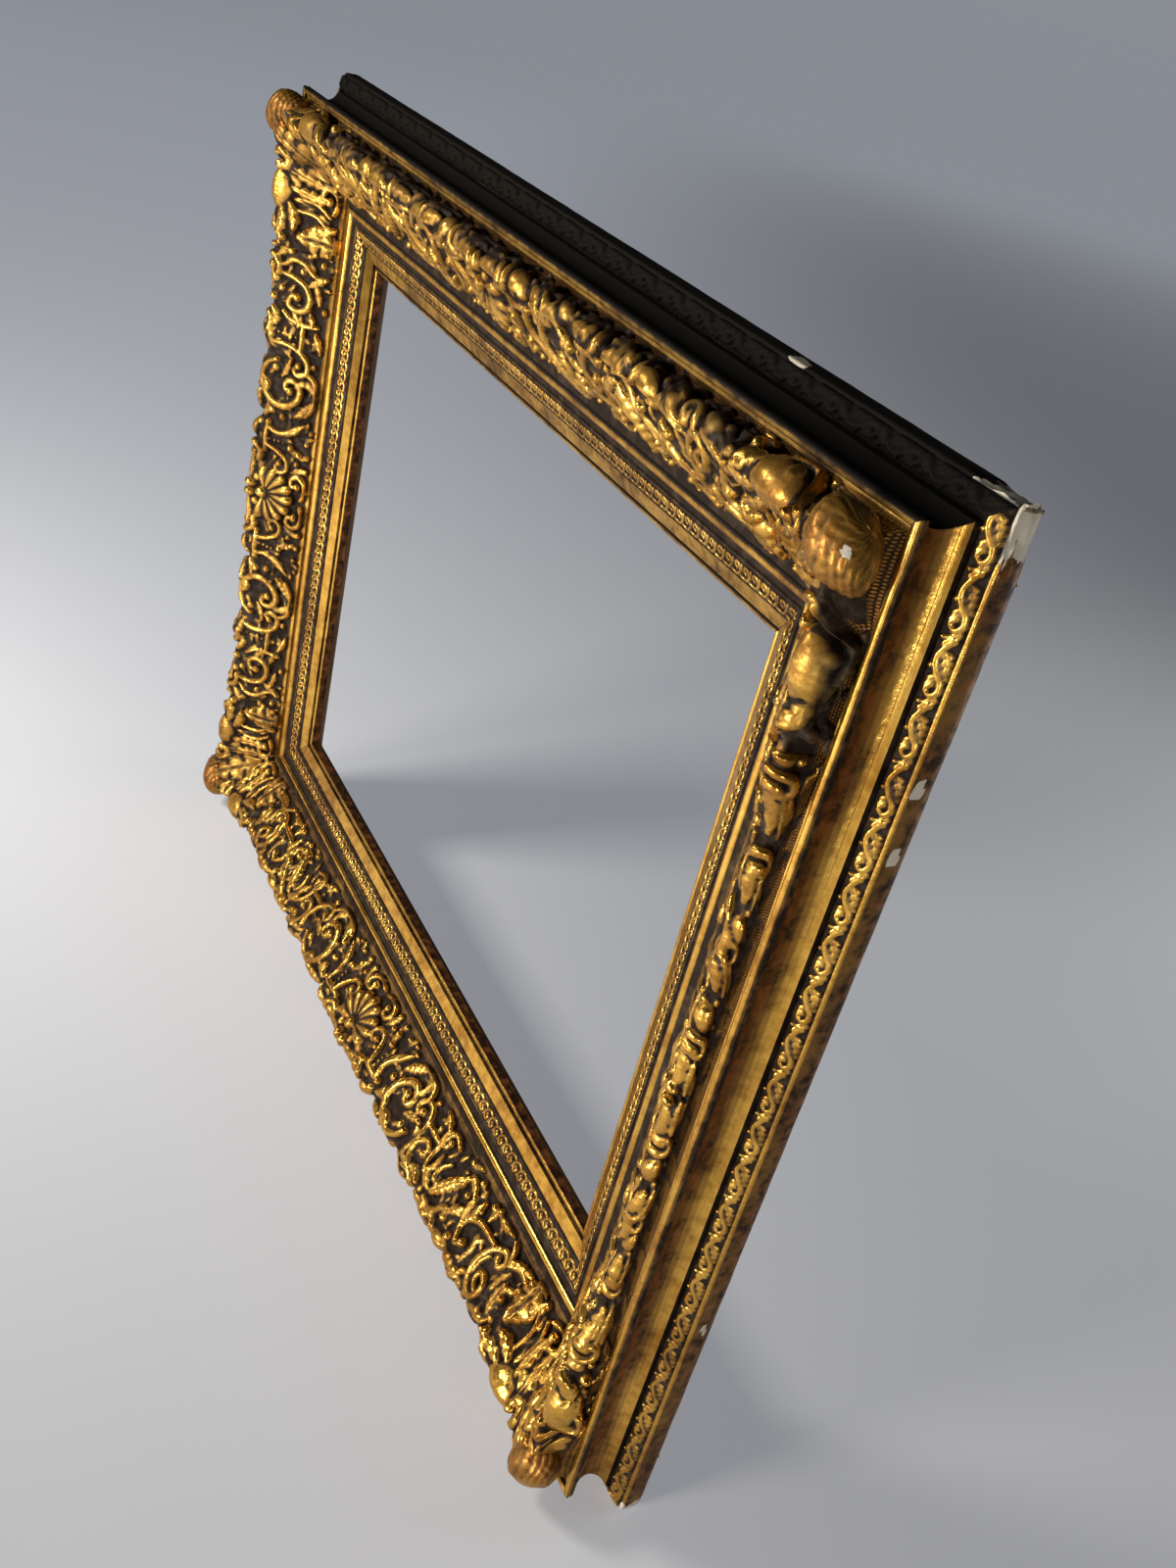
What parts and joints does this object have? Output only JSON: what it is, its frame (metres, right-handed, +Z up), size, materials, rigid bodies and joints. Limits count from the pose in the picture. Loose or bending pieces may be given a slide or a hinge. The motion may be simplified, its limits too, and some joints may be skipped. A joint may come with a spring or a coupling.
{
  "type": "picture frame",
  "caption": "Gilded rectangular picture frame with mitred mouldings, cast scroll ornament on a sloping bed, a deep side cove, a back rail, turn buttons and hanging rings.",
  "frame": {"origin": "middle of the top rail's flat back face, in the wall plane", "axes": "+X to the right seen from the front, along the long sides; +Y back into the wall; +Z up"},
  "size_m": [0.8464, 0.0931, 0.6904],
  "materials": {
    "gilded_slip": "gold leaf over dark red bole, burnished, worn at the edges",
    "gilded_moulding": "worn gold leaf over red-brown bole on gesso, with sanded bands",
    "gilded_rail": "worn gold leaf over bole on gesso, chipped white at the corners",
    "cast_strip": "gilded cast composition, dark in the hollows",
    "cast_ornament": "gilded cast composition, burnished high points and dark brown hollows",
    "key_wood": "bare hardwood",
    "button_brass": "dull aged brass",
    "ring_brass": "dull aged brass wire",
    "eye_brass": "dull aged brass wire",
    "screw_steel": "dull steel"
  },
  "bodies": {
    "frame_body": {"sight_slip_top": "gilded_slip", "sight_slip_right": "gilded_slip", "sight_slip_bottom": "gilded_slip", "sight_slip_left": "gilded_slip", "moulding_top": "gilded_moulding", "moulding_right": "gilded_moulding", "moulding_bottom": "gilded_moulding", "moulding_left": "gilded_moulding", "back_rail_top": "gilded_rail", "back_rail_right": "gilded_rail", "back_rail_bottom": "gilded_rail", "back_rail_left": "gilded_rail", "leaf_strip_top": "cast_strip", "leaf_strip_right": "cast_strip", "leaf_strip_bottom": "cast_strip", "leaf_strip_left": "cast_strip", "lace_strip_top": "cast_strip", "lace_strip_right": "cast_strip", "lace_strip_bottom": "cast_strip", "lace_strip_left": "cast_strip", "corner_top_right": "cast_ornament", "corner_bottom_right": "cast_ornament", "corner_bottom_left": "cast_ornament", "corner_top_left": "cast_ornament", "shell_top": "cast_ornament", "shell_right": "cast_ornament", "shell_bottom": "cast_ornament", "shell_left": "cast_ornament", "scroll_run_top_a": "cast_ornament", "scroll_run_top_b": "cast_ornament", "scroll_run_right_a": "cast_ornament", "scroll_run_right_b": "cast_ornament", "scroll_run_bottom_a": "cast_ornament", "scroll_run_bottom_b": "cast_ornament", "scroll_run_left_a": "cast_ornament", "scroll_run_left_b": "cast_ornament", "corner_key_top_right": "key_wood", "corner_key_bottom_right": "key_wood", "corner_key_bottom_left": "key_wood", "corner_key_top_left": "key_wood", "button_screws": "screw_steel", "screw_eye_left": "eye_brass", "screw_eye_right": "eye_brass"},
    "button_top_a": {"turn_button_top_a": "button_brass"},
    "button_top_b": {"turn_button_top_b": "button_brass"},
    "button_right": {"turn_button_right": "button_brass"},
    "button_left": {"turn_button_left": "button_brass"},
    "button_bottom_a": {"turn_button_bottom_a": "button_brass"},
    "button_bottom_b": {"turn_button_bottom_b": "button_brass"},
    "ring_left": {"hanging_ring_left": "ring_brass"},
    "ring_right": {"hanging_ring_right": "ring_brass"}
  },
  "joints": [
    {"name": "button_top_a_turn", "type": "hinge", "parent": "frame_body", "child": "button_top_a", "pos_m": [-0.165, -0.0033, -0.07491], "axis": [0, 1, 0], "continuous": true},
    {"name": "button_top_b_turn", "type": "hinge", "parent": "frame_body", "child": "button_top_b", "pos_m": [0.165, -0.0033, -0.07491], "axis": [0, 1, 0], "continuous": true},
    {"name": "button_right_turn", "type": "hinge", "parent": "frame_body", "child": "button_right", "pos_m": [0.322, -0.0033, -0.31891], "axis": [0, 1, 0], "continuous": true},
    {"name": "button_left_turn", "type": "hinge", "parent": "frame_body", "child": "button_left", "pos_m": [-0.322, -0.0033, -0.31891], "axis": [0, 1, 0], "continuous": true},
    {"name": "button_bottom_a_turn", "type": "hinge", "parent": "frame_body", "child": "button_bottom_a", "pos_m": [0.165, -0.0033, -0.56291], "axis": [0, 1, 0], "continuous": true},
    {"name": "button_bottom_b_turn", "type": "hinge", "parent": "frame_body", "child": "button_bottom_b", "pos_m": [-0.165, -0.0033, -0.56291], "axis": [0, 1, 0], "continuous": true},
    {"name": "ring_left_swing", "type": "hinge", "parent": "frame_body", "child": "ring_left", "pos_m": [-0.35881, -0.0123, -0.20521], "axis": [1, 0, 0], "range_deg": [-8, 170]},
    {"name": "ring_right_swing", "type": "hinge", "parent": "frame_body", "child": "ring_right", "pos_m": [0.35881, -0.0123, -0.20521], "axis": [1, 0, 0], "range_deg": [-8, 170]}
  ]
}
